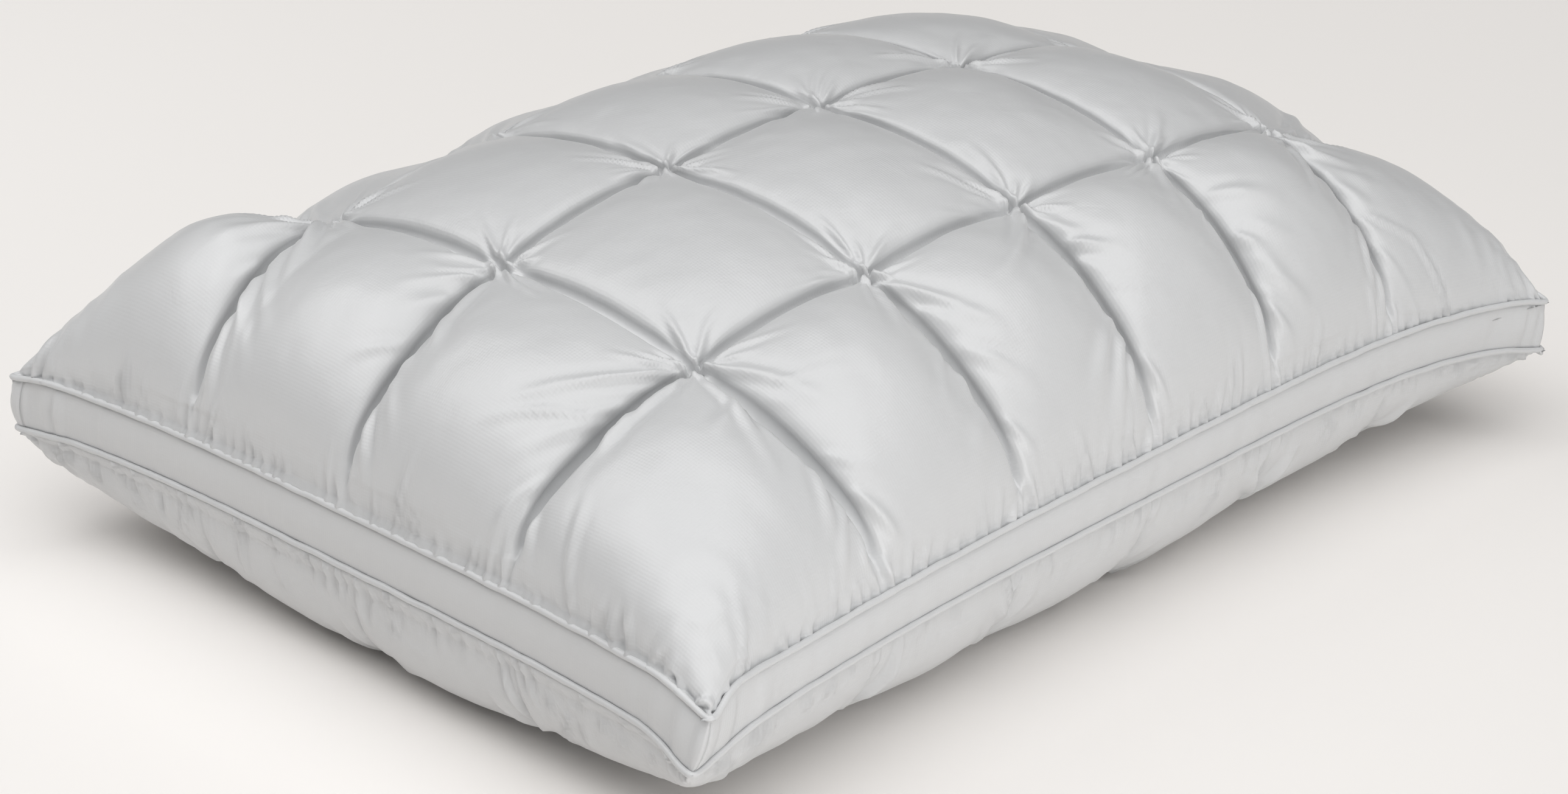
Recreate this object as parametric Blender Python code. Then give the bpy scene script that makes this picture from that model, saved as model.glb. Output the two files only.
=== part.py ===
"""Quilted, gusseted bed pillow, built as the sewn assembly that it is.

The pillow lies flat with its long side along X and its short side along Y. Each face is a quilted
sandwich of cover cloth, fibre layer and backing cloth, held together by a thread tack at every
crossing of the quilting lines. A strip of cloth, the gusset, joins the two faces, with a corded
piping along both of its edges. An inner casing filled with fibre lies in the chamber between them.

Every layer is first laid out flat in quilt cells, then formed over a dome: s counts cells along X
and t along Y, both from the middle. The formed place of a point is given by u and v, which run from
-1 to 1 between opposite edges. Sizes are in metres.
"""

import math

import bmesh
import bpy
from mathutils import Vector

# Overall size of the filled pillow, on the centre lines of the piping
LENGTH = 0.650  # corner to corner along X
WIDTH = 0.490  # corner to corner along Y
CROWN = 0.114  # height of the upper face above the upper piping
BELLY = 0.085  # depth that the lower face would hang below the lower piping, if nothing held it up
GUSSET_HEIGHT = 0.029  # between the centre lines of the two pipings
CORNER_HEIGHT = 0.050  # of the lower piping at the corners, above the bed
SIDE_RISE = 0.0155  # that both pipings are higher at mid side than at the corners
LONG_SIDE_BOW = 0.0205  # that a long side is drawn in at its middle
SHORT_SIDE_BOW = 0.0066

# Quilting
CELLS_LONG = 6
CELLS_WIDE = 4
PUFF = 0.009  # that the middle of a cell stands proud of its seams on the upper face
UNDER_PUFF = 0.010  # the same on the lower face, before the bed flattens it
BACKING_PUFF = 0.001  # of the backing cloth, which lies almost smooth
UNDER_SEAM_HEIGHT = 0.007  # of the lower seams above the bed
CROWN_SPREAD = (1.027, 1.18)  # cell pitch on the crown against an equal share, along X and Y
RIM_SPREAD = (0.912, 0.938)  # the same at the rim
DOME_POWERS = (0.374, 0.428)  # roundness of the upper face across X and Y
BELLY_POWERS = (0.37, 0.37)
PUFF_POWER = 0.6

# Cloths, layers and thread
COVER_CLOTH = 0.0008
BACKING_CLOTH = 0.0006
CASING_CLOTH = 0.0006
SEAM_WADDING = 0.003  # thickness of the fibre layer where a seam presses it
LAYER_GAP = 0.0005  # between neighbouring layers
CASING_AIR = 0.0045  # between the backing and the inner casing, for the inner knots
GUSSET_CLOTH = 0.0008
GUSSET_BULGE = 0.003  # that the gusset stands out at mid height

# Piping
CORD_RADIUS = 0.0011
CORD_GAP = 0.0004
COVER_WALL = 0.0006  # thickness of the bias strip folded round the cord
SEAM_ALLOWANCE = 0.007  # width of the folded strip inside the seam, from the cord's centre
SEAM_GAP = 0.0004  # from the piping to the panels and the gusset
PANEL_SETBACK = 0.0015  # of the panels' edges inside the cord's centre line
GUSSET_SETBACK = 0.0010
CORNER_SEAM_GAP = 0.0002  # from the end of each strip to the seam at the corner

# Tacks
TACK_THREAD_RADIUS = 0.0006
TACK_HOLE_RADIUS = 0.0016
KNOT_RADIUS = 0.0022
KNOT_HEIGHT = 0.0014
STOP_RADIUS = 0.0013  # of the knot at the inner end
TACK_SIDES = 6

# Fineness of the meshes
QUILT_STEPS = (3, 2)  # per inner cell, and per rim cell, alike in every layer so that none cross
RIM_CROWDING = 2.4  # draws the mesh lines of a rim cell towards the rim
CORD_SIDES = 6
COVER_ARC_STEPS = 5
GUSSET_STEPS = 3

# Worked out from the sizes above
PIPING_BORE = CORD_RADIUS + CORD_GAP
PIPING_RADIUS = PIPING_BORE + COVER_WALL
RIM_SLOPE = 8 * SIDE_RISE / min(LENGTH, WIDTH)  # of the pipings at the corners, where it is most
FOLD_RISE = COVER_WALL + CORD_GAP / 2 + RIM_SLOPE * SEAM_ALLOWANCE  # of the allowances' inner edge
PANEL_LIFT = max(PIPING_RADIUS, FOLD_RISE) + SEAM_GAP
HALF_CELLS = (CELLS_LONG / 2, CELLS_WIDE / 2)
LOWER_CORNER = CORNER_HEIGHT
UPPER_CORNER = CORNER_HEIGHT + GUSSET_HEIGHT
MIDDLE_CORNER = CORNER_HEIGHT + GUSSET_HEIGHT / 2
# Depth of each layer's two faces below the cover's outer face
COVER_IN = COVER_CLOTH
WADDING_OUT = COVER_IN + LAYER_GAP
WADDING_IN = WADDING_OUT + SEAM_WADDING
BACKING_OUT = WADDING_IN + LAYER_GAP
BACKING_IN = BACKING_OUT + BACKING_CLOTH
CASING_OUT = BACKING_IN + CASING_AIR
CASING_IN = CASING_OUT + CASING_CLOTH
CORE_OUT = CASING_IN + LAYER_GAP
CASING_SETBACK = SEAM_ALLOWANCE + 0.0015  # keeps the casing clear of the seam allowances


# ---------------------------------------------------------------- formed shape


def blend(a, b, share):
    return a + (b - a) * share


def formed_share(cell, half_cells, pitch):
    """Place of a quilting coordinate between the middle, 0, and the rim, 1, with its sign."""
    inner = half_cells - 1
    size = abs(cell)
    share = pitch / half_cells
    if size <= inner:
        place = size * share
    else:
        place = blend(inner * share, 1, size - inner)
    return math.copysign(place, cell)


def formed_uv(s, t):
    """Place on the formed face of the point at quilting coordinates s and t."""
    towards_wide_rim = abs(t / HALF_CELLS[1]) ** 3
    towards_long_rim = abs(s / HALF_CELLS[0]) ** 3
    pitch_s = blend(CROWN_SPREAD[0], RIM_SPREAD[0], towards_wide_rim)
    pitch_t = blend(CROWN_SPREAD[1], RIM_SPREAD[1], towards_long_rim)
    return (
        formed_share(s, HALF_CELLS[0], pitch_s),
        formed_share(t, HALF_CELLS[1], pitch_t),
    )


def plan_point(u, v, setback):
    """X and Y of a point, on an outline that lies setback inside the piping."""
    half_length = LENGTH / 2 - SHORT_SIDE_BOW * (1 - v**4) - setback
    half_width = WIDTH / 2 - LONG_SIDE_BOW * (1 - u**4) - setback
    return u * half_length, v * half_width


def edge_height(u, v, corner_height):
    """The pipings droop towards the corners, and the faces follow them."""
    return corner_height + SIDE_RISE * (1 - (u * v) ** 4)


def dome(u, v, powers):
    return max(0.0, 1 - u * u) ** powers[0] * max(0.0, 1 - v * v) ** powers[1]


def cell_swell(s, t):
    """0 on the seams and 1 in the middle of a cell."""
    return (abs(math.sin(math.pi * s)) * abs(math.sin(math.pi * t))) ** PUFF_POWER


def rim_fade(height):
    """Cells swell fully on the crown and less towards the rim."""
    return min(1.0, 1.6 * height)


def upper_face(depth, puff=PUFF):
    """A function that gives the formed place of (s, t), depth below the upper cover's outer face."""

    def place(s, t):
        u, v = formed_uv(s, t)
        x, y = plan_point(u, v, PANEL_SETBACK + depth)
        height = dome(u, v, DOME_POWERS)
        swell = puff * cell_swell(s, t) * rim_fade(height)
        rise = PANEL_LIFT + (CROWN - PANEL_LIFT - depth) * height + swell
        return Vector((x, y, edge_height(u, v, UPPER_CORNER) + rise))

    return place


def lower_face(depth, puff=UNDER_PUFF):
    """The same for the lower face, which lies flat on the bed in the middle of each cell."""

    def place(s, t):
        u, v = formed_uv(s, t)
        x, y = plan_point(u, v, PANEL_SETBACK + depth)
        height = dome(u, v, BELLY_POWERS)
        hang = PANEL_LIFT + (BELLY - PANEL_LIFT - depth) * height
        z = max(edge_height(u, v, LOWER_CORNER) - hang, UNDER_SEAM_HEIGHT + depth)
        z -= puff * cell_swell(s, t) * rim_fade(height)
        return Vector((x, y, max(z, depth)))

    return place


def casing_half(depth, up):
    """The inner casing or its filling: a smooth half pillow that starts at the gusset's middle."""
    crown = CROWN + GUSSET_HEIGHT / 2 - depth
    inside = CASING_SETBACK + depth - CASING_OUT

    def place(s, t):
        u, v = formed_uv(s, t)
        x, y = plan_point(u, v, inside)
        middle = edge_height(u, v, MIDDLE_CORNER)
        if up:
            rise = LAYER_GAP + (crown - LAYER_GAP) * dome(u, v, DOME_POWERS)
            return Vector((x, y, middle + rise))
        hang = LAYER_GAP + (BELLY + GUSSET_HEIGHT / 2 - depth) * dome(u, v, BELLY_POWERS)
        return Vector((x, y, max(middle - hang, UNDER_SEAM_HEIGHT + depth)))

    return place


# ---------------------------------------------------------------- mesh tools


def stations(half_cells):
    """Quilting coordinates of the mesh lines, closer together towards the rim, where it is steep."""
    inner_steps, rim_steps = QUILT_STEPS
    inner = int(half_cells) - 1
    half = [k / inner_steps for k in range(inner * inner_steps + 1)]
    half += [inner + 1 - (1 - k / rim_steps) ** RIM_CROWDING for k in range(1, rim_steps + 1)]
    return [-x for x in reversed(half[1:])] + half


def tack_places():
    """(row, column, s, t) of every crossing of two seams."""
    for row in range(1, CELLS_WIDE):
        for column in range(1, CELLS_LONG):
            yield row, column, column - HALF_CELLS[0], row - HALF_CELLS[1]


def flat_layer(with_holes):
    """A layer laid out flat, one unit to a cell, with a hole at every tack.

    The triangles' diagonals run round the middle of each quilt cell.
    """
    s_lines, t_lines = (stations(half) for half in HALF_CELLS)
    mesh = bmesh.new()
    rows = [[mesh.verts.new((s, t, 0)) for s in s_lines] for t in t_lines]
    for lower, upper in zip(rows, rows[1:]):
        for k in range(len(lower) - 1):
            a, b, c, d = lower[k], lower[k + 1], upper[k + 1], upper[k]
            middle = (a.co + c.co) / 2
            from_centre = [x - math.floor(x) - 0.5 for x in middle[:2]]
            if from_centre[0] * from_centre[1] > 0:
                triangles = (a, b, d), (b, c, d)
            else:
                triangles = (a, b, c), (a, c, d)
            for triangle in triangles:
                mesh.faces.new(triangle)
    if with_holes:
        cut_tack_holes(mesh)
    return mesh


def is_round_a_crossing(face, crossings):
    middle = face.calc_center_median()
    return any(math.hypot(middle.x - s, middle.y - t) < 0.01 for s, t in crossings)


def cut_tack_holes(mesh):
    crossings = {(s, t) for _, _, s, t in tack_places()}
    corners = [v for v in mesh.verts if (v.co.x, v.co.y) in crossings]
    made = bmesh.ops.bevel(
        mesh,
        geom=corners,
        offset=TACK_HOLE_RADIUS * CELLS_LONG / LENGTH,
        segments=1,
        profile=0.5,
        affect="VERTICES",
    )
    holes = [f for f in made["faces"] if is_round_a_crossing(f, crossings)]
    bmesh.ops.delete(mesh, geom=holes, context="FACES")
    bmesh.ops.triangulate(mesh, faces=mesh.faces)


def add_object(name, mesh, material):
    """Gives a finished bmesh a name and a material, as one object of the scene."""
    bmesh.ops.recalc_face_normals(mesh, faces=mesh.faces)
    if mesh.calc_volume(signed=True) < 0:
        bmesh.ops.reverse_faces(mesh, faces=mesh.faces)
    data = bpy.data.meshes.new(name)
    mesh.to_mesh(data)
    mesh.free()
    data.materials.append(material)
    data.shade_smooth()
    data.set_sharp_from_angle(angle=math.radians(40))
    made = bpy.data.objects.new(name, data)
    bpy.context.scene.collection.objects.link(made)
    return made


def add_layer(name, upper, lower, material, with_holes=True):
    """A solid layer between two formed faces: a flat slab of it is bent into place."""
    mesh = flat_layer(with_holes)
    near = set(mesh.verts)
    bmesh.ops.extrude_face_region(mesh, geom=mesh.faces[:], use_keep_orig=True)
    for vert in mesh.verts:
        face = upper if vert in near else lower
        vert.co = face(vert.co.x, vert.co.y)
    return add_object(name, mesh, material)


def join_rings(mesh, rings, closed):
    """Skins a row of equal rings of points, round a closed path or with an end cap on each side."""
    made = [[mesh.verts.new(point) for point in ring] for ring in rings]
    pairs = list(zip(made, made[1:]))
    if closed:
        pairs.append((made[-1], made[0]))
    for first, second in pairs:
        for k in range(len(first)):
            follow = (k + 1) % len(first)
            mesh.faces.new((first[k], first[follow], second[follow], second[k]))
    if not closed:
        mesh.faces.new(made[0])
        mesh.faces.new(made[-1])


# ---------------------------------------------------------------- rim


def rim_sides():
    """(u, v) places along each side from corner to corner, anticlockwise from the front side."""
    s_lines, t_lines = (stations(half) for half in HALF_CELLS)
    end_s, end_t = HALF_CELLS
    return (
        [formed_uv(s, -end_t) for s in s_lines],
        [formed_uv(end_s, t) for t in t_lines],
        [formed_uv(s, end_t) for s in reversed(s_lines)],
        [formed_uv(-end_s, t) for t in reversed(t_lines)],
    )


def rim_frames(corner_height):
    """Centres round the whole rim, each with a level vector that points away from the pillow.

    The vector is longer at a corner, where it runs along the mitre.
    """
    outline = [place for side in rim_sides() for place in side[:-1]]
    points = [Vector(plan_point(u, v, 0)) for u, v in outline]
    frames = []
    for k, (u, v) in enumerate(outline):
        before = (points[k] - points[k - 1]).normalized()
        after = (points[(k + 1) % len(points)] - points[k]).normalized()
        along = (before + after).normalized()
        outward = Vector((along.y, -along.x, 0)) / along.dot(after)
        frames.append((Vector((*points[k], edge_height(u, v, corner_height))), outward))
    return frames


def sweep_round_rim(name, section, corner_height, material):
    """A section of (outward, up) points carried round the whole rim."""
    rings = []
    for centre, outward in rim_frames(corner_height):
        rings.append([centre + outward * a + Vector((0, 0, b)) for a, b in section])
    mesh = bmesh.new()
    join_rings(mesh, rings, closed=True)
    return add_object(name, mesh, material)


def circle_section(radius, sides):
    return [
        (radius * math.cos(2 * math.pi * k / sides), radius * math.sin(2 * math.pi * k / sides))
        for k in range(sides)
    ]


def folded_strip_section():
    """A bias strip folded round the cord, with its two edges together inside the seam."""
    slit = CORD_GAP / 2
    half_fold = slit + COVER_WALL
    outer_end = math.pi - math.asin(half_fold / PIPING_RADIUS)
    inner_end = math.pi - math.asin(slit / PIPING_BORE)

    def arc(radius, end):
        angles = [end * (1 - 2 * k / COVER_ARC_STEPS) for k in range(COVER_ARC_STEPS + 1)]
        return [(radius * math.cos(a), radius * math.sin(a)) for a in angles]

    outside = arc(PIPING_RADIUS, outer_end)
    inside = arc(PIPING_BORE, inner_end)
    return (
        [(-SEAM_ALLOWANCE, half_fold)]
        + outside
        + [(-SEAM_ALLOWANCE, -half_fold), (-SEAM_ALLOWANCE, -slit)]
        + inside[::-1]
        + [(-SEAM_ALLOWANCE, slit)]
    )


def gusset_section():
    """(outward, up) points of a strip from seam to seam, standing out a little at mid height."""
    bottom = PIPING_RADIUS + SEAM_GAP
    top = GUSSET_HEIGHT - bottom
    outer, inner = [], []
    for step in range(GUSSET_STEPS + 1):
        share = step / GUSSET_STEPS
        out = GUSSET_BULGE * math.sin(math.pi * share) - GUSSET_SETBACK
        outer.append((out, blend(bottom, top, share)))
        inner.append((out - GUSSET_CLOTH, blend(bottom, top, share)))
    return outer + inner[::-1]


def add_gusset_strip(name, frames, material):
    """One side's strip. It stops just short of the seam at each corner."""
    rings = []
    for centre, outward in frames:
        rings.append([centre + outward * a + Vector((0, 0, b)) for a, b in gusset_section()])
    along = (frames[-1][0] - frames[0][0]).normalized() * CORNER_SEAM_GAP
    rings[0] = [point + along for point in rings[0]]
    rings[-1] = [point - along for point in rings[-1]]
    mesh = bmesh.new()
    join_rings(mesh, rings, closed=False)
    return add_object(name, mesh, material)


# ---------------------------------------------------------------- tacks


def steepest_rise(face, s, t):
    """The steepest climb of a face away from a tack, as height over run."""
    centre = face(s, t)
    step = 1 / QUILT_STEPS[0]
    climbs = []
    for ds in (-step, 0, step):
        for dt in (-step, 0, step):
            if ds or dt:
                there = face(s + ds, t + dt) - centre
                climbs.append(abs(there.z) / there.xy.length)
    return max(climbs)


def add_tack(name, s, t, cover, backing, material):
    """A thread through the quilted layers, where their holes line up, with a knot at each end."""
    outside, inside = cover(s, t), backing(s, t)
    thread = outside - inside
    slope = steepest_rise(cover, s, t) + thread.xy.length / abs(thread.z)
    top = thread.length + KNOT_RADIUS * slope + LAYER_GAP
    foot = -STOP_RADIUS * slope - LAYER_GAP
    profile = [
        (0, top + KNOT_HEIGHT),
        (KNOT_RADIUS, top + KNOT_HEIGHT / 2),
        (KNOT_RADIUS * 0.7, top),
        (TACK_THREAD_RADIUS, top),
        (TACK_THREAD_RADIUS, foot),
        (STOP_RADIUS, foot),
        (0, foot - KNOT_HEIGHT / 2),
    ]
    mesh = bmesh.new()
    verts = [mesh.verts.new((r, 0, z)) for r, z in profile]
    edges = [mesh.edges.new(pair) for pair in zip(verts, verts[1:])]
    bmesh.ops.spin(
        mesh,
        geom=verts + edges,
        axis=(0, 0, 1),
        cent=(0, 0, 0),
        angle=2 * math.pi,
        steps=TACK_SIDES,
        use_merge=True,
    )
    bmesh.ops.remove_doubles(mesh, verts=mesh.verts, dist=1e-6)
    made = add_object(name, mesh, material)
    made.location = inside
    made.rotation_mode = "QUATERNION"
    made.rotation_quaternion = thread.to_track_quat("Z", "Y")
    return made


# ---------------------------------------------------------------- materials


def cloth_material(name, color, roughness, sheen=0.0):
    material = bpy.data.materials.new(name)
    material.use_nodes = True
    shader = material.node_tree.nodes["Principled BSDF"]
    shader.inputs["Base Color"].default_value = (*color, 1)
    shader.inputs["Roughness"].default_value = roughness
    shader.inputs["Metallic"].default_value = 0
    shader.inputs["Sheen Weight"].default_value = sheen
    material.diffuse_color = (*color, 1)
    return material


def make_materials():
    return {
        "sateen": cloth_material("cotton_sateen", (0.80, 0.81, 0.82), 0.45, sheen=0.3),
        "gusset": cloth_material("gusset_sateen", (0.78, 0.79, 0.80), 0.45, sheen=0.3),
        "piping": cloth_material("bias_strip", (0.82, 0.83, 0.84), 0.4, sheen=0.2),
        "cord": cloth_material("twisted_cotton_cord", (0.85, 0.83, 0.78), 0.8),
        "fibre": cloth_material("polyester_fibre", (0.9, 0.9, 0.88), 0.95),
        "backing": cloth_material("nonwoven_backing", (0.84, 0.84, 0.83), 0.9),
        "ticking": cloth_material("cotton_ticking", (0.86, 0.85, 0.82), 0.8),
        "thread": cloth_material("sewing_thread", (0.74, 0.75, 0.77), 0.5),
    }


# ---------------------------------------------------------------- the pillow


def build_quilted_face(side, face, puff, materials):
    """Cover cloth, fibre layer, backing cloth and tacks of the upper or the lower face."""
    layers = (
        ("panel", face(0, puff), face(COVER_IN, puff), "sateen"),
        ("fibre_layer", face(WADDING_OUT, puff), face(WADDING_IN, BACKING_PUFF), "fibre"),
        ("backing_cloth", face(BACKING_OUT, BACKING_PUFF), face(BACKING_IN, BACKING_PUFF), "backing"),
    )
    for name, outer, inner, material in layers:
        upper, lower = (outer, inner) if side == "top" else (inner, outer)
        add_layer(f"{side}_{name}", upper, lower, materials[material])
    for row, column, s, t in tack_places():
        name = f"{side}_tack_{row}_{column}"
        add_tack(name, s, t, layers[0][1], layers[-1][2], materials["thread"])


def build_piping(side, corner_height, materials):
    cord = circle_section(CORD_RADIUS, CORD_SIDES)
    sweep_round_rim(f"{side}_piping_cord", cord, corner_height, materials["cord"])
    strip = folded_strip_section()
    sweep_round_rim(f"{side}_piping_cover", strip, corner_height, materials["piping"])


def build_gusset(materials):
    """Four strips, each from corner to corner."""
    frames = rim_frames(LOWER_CORNER)
    frames.append(frames[0])
    start = 0
    for name, places in zip(("front", "right", "back", "left"), rim_sides()):
        end = start + len(places)
        add_gusset_strip(f"gusset_{name}", frames[start:end], materials["gusset"])
        start = end - 1


def build_core(materials):
    """The two halves of the inner casing and the filling between them."""
    ticking = materials["ticking"]
    outside, inside = casing_half(CASING_OUT, True), casing_half(CASING_IN, True)
    add_layer("inner_casing_top", outside, inside, ticking, with_holes=False)
    outside, inside = casing_half(CASING_OUT, False), casing_half(CASING_IN, False)
    add_layer("inner_casing_bottom", inside, outside, ticking, with_holes=False)
    upper, lower = casing_half(CORE_OUT, True), casing_half(CORE_OUT, False)
    add_layer("core_fill", upper, lower, materials["fibre"], with_holes=False)


def main():
    for old in list(bpy.data.objects):
        bpy.data.objects.remove(old)
    materials = make_materials()
    build_quilted_face("top", upper_face, PUFF, materials)
    build_quilted_face("bottom", lower_face, UNDER_PUFF, materials)
    build_piping("top", UPPER_CORNER, materials)
    build_piping("bottom", LOWER_CORNER, materials)
    build_gusset(materials)
    build_core(materials)


main()
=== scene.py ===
"""Sewn and filled surfaces, finishes, floor, light and camera for a quilted, gusseted bed pillow.

Laid out as a Blender add-on. The panel in the 3D view's sidebar lists one button for each part of
the work. Sizes are in metres unless a name says mm. Places on a quilted face are given by s, which
counts quilt cells along X from the middle, and t, which counts them along Y.
"""

import math

import bmesh
import bpy
import numpy as np
from bpy.props import FloatProperty, FloatVectorProperty, IntProperty, PointerProperty
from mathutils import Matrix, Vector, noise


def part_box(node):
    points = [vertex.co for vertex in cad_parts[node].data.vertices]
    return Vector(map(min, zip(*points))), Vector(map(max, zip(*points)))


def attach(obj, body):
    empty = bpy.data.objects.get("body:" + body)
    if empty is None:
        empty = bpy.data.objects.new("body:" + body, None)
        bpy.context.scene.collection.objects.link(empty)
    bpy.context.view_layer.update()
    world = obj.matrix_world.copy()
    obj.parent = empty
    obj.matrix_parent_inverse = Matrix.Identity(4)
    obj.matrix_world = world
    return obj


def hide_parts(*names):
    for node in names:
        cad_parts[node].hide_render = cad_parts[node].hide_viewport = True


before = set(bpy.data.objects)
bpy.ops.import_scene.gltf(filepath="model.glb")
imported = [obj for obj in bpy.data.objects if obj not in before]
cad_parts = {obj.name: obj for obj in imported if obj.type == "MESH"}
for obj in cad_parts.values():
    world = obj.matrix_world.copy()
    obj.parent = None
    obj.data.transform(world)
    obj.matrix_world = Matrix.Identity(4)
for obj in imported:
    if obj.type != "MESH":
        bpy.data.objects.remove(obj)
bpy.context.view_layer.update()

bl_info = {
    "name": "Quilted Bed Pillow",
    "version": (1, 0, 0),
    "blender": (4, 5, 0),
    "location": "3D View > Sidebar > Pillow",
    "description": "Forms and dresses a quilted bed pillow around its CAD pieces",
    "category": "Object",
}

MM = 0.001
CELLS_LONG = 6
CELLS_WIDE = 4
HALF_CELLS = (CELLS_LONG / 2, CELLS_WIDE / 2)
TACK_ROWS = (1, 2, 3)
TACK_COLUMNS = (1, 2, 3, 4, 5)


def linear(hex_color):
    """The linear colour of an sRGB hex value."""
    channels = [int(hex_color[k : k + 2], 16) / 255 for k in (1, 3, 5)]
    return [c / 12.92 if c <= 0.04045 else ((c + 0.055) / 1.055) ** 2.4 for c in channels]


def node_middle(node):
    """Half sizes and mid height of a CAD node."""
    low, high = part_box(node)
    return (high - low) / 2, (high.z + low.z) / 2


UPPER_CORD_HALF, _ = node_middle("top_piping_cord")
UPPER_CORD_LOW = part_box("top_piping_cord")[0].z
LOWER_CORD_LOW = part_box("bottom_piping_cord")[0].z
CORD_RADIUS = 1.1 * MM
ROOT_BODY = "root"


def size(name, description, default, **more):
    return FloatProperty(
        name=name,
        description=description,
        default=default,
        unit="LENGTH",
        subtype="DISTANCE",
        precision=4,
        **more,
    )


def tint(name, description, hex_color):
    return FloatVectorProperty(
        name=name, description=description, default=linear(hex_color), subtype="COLOR", min=0, max=1
    )


class PillowSizes(bpy.types.PropertyGroup):
    length: size("Length", "Corner to corner along X", 2 * UPPER_CORD_HALF.x - 2.5 * MM)
    width: size("Width", "Corner to corner along Y", 2 * UPPER_CORD_HALF.y - 2.8 * MM)
    crown: size("Crown", "Height of the upper face's seams above the upper piping", 0.114)
    belly: size("Belly", "Hang of the lower face below the lower piping", 0.085)
    gusset: size("Gusset", "Height between the pipings", UPPER_CORD_LOW - LOWER_CORD_LOW)
    corner_height: size("Corner height", "Lower piping above the bed", LOWER_CORD_LOW + CORD_RADIUS)
    side_rise: size("Side rise", "Piping at mid side above the corners", 0.0155)
    long_bow: size("Long side bow", "Draw-in of a long side at its middle", 0.0205)
    short_bow: size("Short side bow", "Draw-in of a short side at its middle", 0.0066)
    piping: size("Piping radius", "Outside radius of the piping", 1.55 * MM)
    seam_rise: size("Seam rise", "Seam at mid cell above its tacks", 2.0 * MM)
    puff: size("Puff", "Cell's middle above its seams", 11.0 * MM)
    valley: size("Valley", "Depth of the seams between the outer tacks and the rim", 11.0 * MM)
    under_seam: size("Under seam", "Lower seams above the bed", 7.0 * MM)
    cloth_step: size("Cloth step", "Spacing of the cloth's simulated points", 3.6 * MM)
    frames: IntProperty(name="Frames", description="Steps of the cloth simulation", default=22)
    excess: FloatProperty(name="Excess", description="Extra cloth over the form", default=0.035)


class PillowColours(bpy.types.PropertyGroup):
    sateen: tint("Sateen", "Cover panels and gusset", "#d0d1d2")
    piping: tint("Piping", "Bias strip round the cord", "#d0d1d2")
    thread: tint("Thread", "Tacks and stitches", "#cfd0d2")
    ticking: tint("Ticking", "Inner casing", "#e4e0d6")
    floor: tint("Floor", "Floor and backdrop", "#f5f2ef")


def sizes():
    return bpy.context.scene.pillow_sizes


def colours():
    return bpy.context.scene.pillow_colours


# ---------------------------------------------------------------- formed shape

CROWN_SPREAD = (1.027, 1.18)
RIM_SPREAD = (0.912, 0.938)
DOME_POWERS = (0.374, 0.428)
BELLY_POWERS = (0.37, 0.37)
FULL_POWERS = (0.24, 0.37)  # of the lower face's fuller left half
SEAM_INSET = 2.3 * MM  # of the cloth's sewn edge inside the piping's centre line
SEAM_LIFT = -0.6 * MM
GROOVE_DEPTH = 6.2  # in mm, where the thread draws two cells together
GROOVE_WIDTH = 2.5
CELL_ON_CLOTH = (112, 140)  # mm of cloth across one cell, along X and along Y
UPPER_SEED, LOWER_SEED = 11, 23
RIM_PLUMP = 11.0  # in mm, swells the cells over the piping
CROWDING = 0.5  # how much closer the cloth's points stand at the seams than at mid cell
BACKING_DEPTH = 14.0 * MM
PINCH = 6.0 * MM  # cloth that each tack takes in
PINCH_REACH = 34.0 * MM
PINCH_CORE = 8.0 * MM
VALLEY_POWER = 0.5
# How each corner has settled, in mm: its shift along X, Y and Z, the dip of its pinched tip, and
# how far the tip of the upper piping leans along X and Y, with the lower one leaning back as far
CORNER_SHIFT = {
    (-1, -1): (-0.4, 5.1, 14.5, 10.5, 2.6, -2.7),
    (1, -1): (-3.9, 3.0, -3.0, 1.5, 0.0, 0.0),
    (-1, 1): (-2.9, 6.5, 12.0, 3.5, 0.0, 0.0),
    (1, 1): (-3.0, 2.0, 2.0, 4.0, 0.0, 0.0),
}
DIP_REACH = 17.0 * MM
LOWER_REACH = 26.0 * MM
FRONT_SAG = 5.0 * MM  # of the upper piping along the front
UNDER_SWELL = 0.5  # of the lower face's cells beside the upper ones
LOWER_DIP = 0.8  # share of the dip that the lower piping takes


def formed_share(cell, half, pitch):
    inner = half - 1
    distance = np.abs(cell)
    share = pitch / half
    near = distance * share
    far = inner * share + (1 - inner * share) * (distance - inner)
    return np.sign(cell) * np.where(distance <= inner, near, far)


def formed_uv(s, t):
    wide = np.abs(t / HALF_CELLS[1]) ** 3
    long = np.abs(s / HALF_CELLS[0]) ** 3
    pitch_s = CROWN_SPREAD[0] + (RIM_SPREAD[0] - CROWN_SPREAD[0]) * wide
    pitch_t = CROWN_SPREAD[1] + (RIM_SPREAD[1] - CROWN_SPREAD[1]) * long
    return formed_share(s, HALF_CELLS[0], pitch_s), formed_share(t, HALF_CELLS[1], pitch_t)


def plan_point(u, v, inset=0.0):
    made = sizes()
    half_length = made.length / 2 - made.short_bow * (1 - v**4) - inset
    half_width = made.width / 2 - made.long_bow * (1 - u**4) - inset
    return u * half_length, v * half_width


def edge_height(u, v, corner_height):
    return corner_height + sizes().side_rise * (1 - (u * v) ** 4)


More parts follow.
